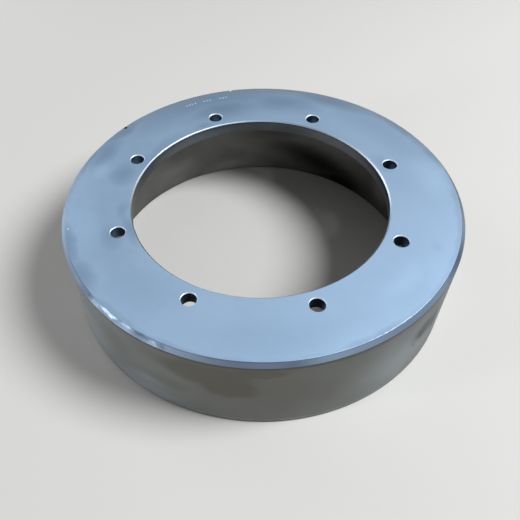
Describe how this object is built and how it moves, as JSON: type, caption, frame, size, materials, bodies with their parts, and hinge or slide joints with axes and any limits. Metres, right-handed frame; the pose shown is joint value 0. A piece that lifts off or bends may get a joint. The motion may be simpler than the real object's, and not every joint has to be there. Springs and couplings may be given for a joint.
{
  "type": "brake drum",
  "caption": "Plain turned brake drum: a thick open rim closed at one end by a flat ring web with a pilot bore and a circle of bolt holes.",
  "frame": {"origin": "centre of the open rim, on the drum's axis, in the plane the drum stands on", "axes": "+Z along the drum's axis from the open rim to the mounting face; the bolt holes straddle +X and +Y"},
  "size_m": [0.3, 0.3, 0.073],
  "materials": {
    "machined_iron": "machined all over, satin, lightly tarnished"
  },
  "bodies": {
    "root": {"brake_drum": "machined_iron"}
  },
  "joints": []
}
